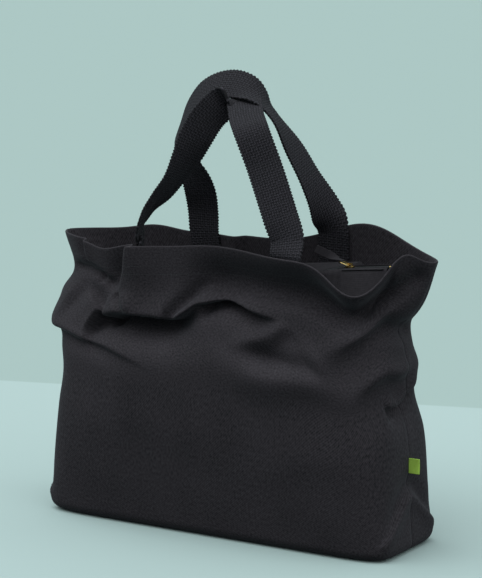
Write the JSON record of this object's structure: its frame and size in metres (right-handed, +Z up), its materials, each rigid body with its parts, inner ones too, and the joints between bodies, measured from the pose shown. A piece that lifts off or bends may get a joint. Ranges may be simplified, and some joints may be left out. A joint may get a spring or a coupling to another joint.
{
  "type": "foldable tote bag",
  "caption": "Soft cotton tote bag, filled and slumped, with a recessed zip that stands open, webbing handles sewn inside the hem and a small plain label in the side seam.",
  "frame": {"origin": "middle of the base on the floor", "axes": "+X along the width to the bag's right side as seen from the front, -Y out of the front, +Z up"},
  "size_m": [0.4997, 0.1628, 0.5236],
  "materials": {
    "black_cotton_twill": "matt woven cotton twill",
    "black_cotton_facing": "matt woven cotton",
    "black_cotton_webbing": "coarse basket-woven cotton webbing",
    "black_zip_tape": "woven polyester tape",
    "black_nylon_coil": "satin nylon coil",
    "gold_brass": "polished gold-coloured metal",
    "green_woven_label": "plain woven ribbon"
  },
  "bodies": {
    "bag": {"base_panel": "black_cotton_twill", "front_panel": "black_cotton_twill", "back_panel": "black_cotton_twill", "front_facing": "black_cotton_facing", "back_facing": "black_cotton_facing", "left_seam_tape": "black_zip_tape", "right_seam_tape": "black_zip_tape", "front_handle_left_end": "black_cotton_webbing", "front_handle_right_end": "black_cotton_webbing", "back_handle_left_end": "black_cotton_webbing", "back_handle_right_end": "black_cotton_webbing", "zip_front_strip": "black_cotton_facing", "zip_back_strip": "black_cotton_facing", "zip_front_shut_tape": "black_zip_tape", "zip_back_shut_tape": "black_zip_tape", "zip_shut_coil": "black_nylon_coil", "zip_shut_stop": "gold_brass", "side_label": "green_woven_label"},
    "front_loop": {"front_handle": "black_cotton_webbing"},
    "back_loop": {"back_handle": "black_cotton_webbing"},
    "slider": {"zip_slider": "gold_brass"},
    "link": {"pull_link": "gold_brass"},
    "tab": {"pull_tab": "black_cotton_facing"},
    "front_zip_half": {"zip_front_flap": "black_cotton_facing", "zip_front_tape": "black_zip_tape", "zip_front_coil": "black_nylon_coil", "zip_front_end_stop": "gold_brass"},
    "back_zip_half": {"zip_back_flap": "black_cotton_facing", "zip_back_tape": "black_zip_tape", "zip_back_coil": "black_nylon_coil", "zip_back_end_stop": "gold_brass"}
  },
  "joints": [
    {"name": "front_loop_swing", "type": "hinge", "parent": "bag", "child": "front_loop", "pos_m": [0.00237, -0.06544, 0.33283], "axis": [0.9989, 0.0461, 0.0006], "range_deg": [0, 150]},
    {"name": "back_loop_swing", "type": "hinge", "parent": "bag", "child": "back_loop", "pos_m": [0.00298, 0.05952, 0.34391], "axis": [0.9911, 0.0068, 0.1331], "range_deg": [-150, 0]},
    {"name": "zip_slide", "type": "slide", "parent": "bag", "child": "slider", "axis": [-0.9945, 0, -0.1045], "range_m": [0, 0.285], "deforming": ["zip_front_flap", "zip_back_flap", "zip_front_tape", "zip_back_tape", "zip_front_coil", "zip_back_coil"]},
    {"name": "front_half_turn", "type": "hinge", "parent": "bag", "child": "front_zip_half", "pos_m": [0.14169, -0.036, 0.31398], "axis": [0.9945, 0, 0.1045], "range_deg": [0, 70]},
    {"name": "back_half_turn", "type": "hinge", "parent": "bag", "child": "back_zip_half", "pos_m": [0.14169, 0.038, 0.31398], "axis": [-0.9945, 0, -0.1045], "range_deg": [0, 70]},
    {"name": "link_turn", "type": "hinge", "parent": "slider", "child": "link", "pos_m": [0.14161, 0.004, 0.31468], "axis": [0, 1, 0], "range_deg": [-28, 150]},
    {"name": "tab_turn", "type": "hinge", "parent": "link", "child": "tab", "pos_m": [0.13115, 0.004, 0.31808], "axis": [0, 1, 0], "range_deg": [-40, 60]}
  ],
  "couplings": [
    {"joint": "front_half_turn", "follows": "zip_slide", "rad_per_m": 4.286},
    {"joint": "back_half_turn", "follows": "zip_slide", "rad_per_m": 4.286}
  ]
}
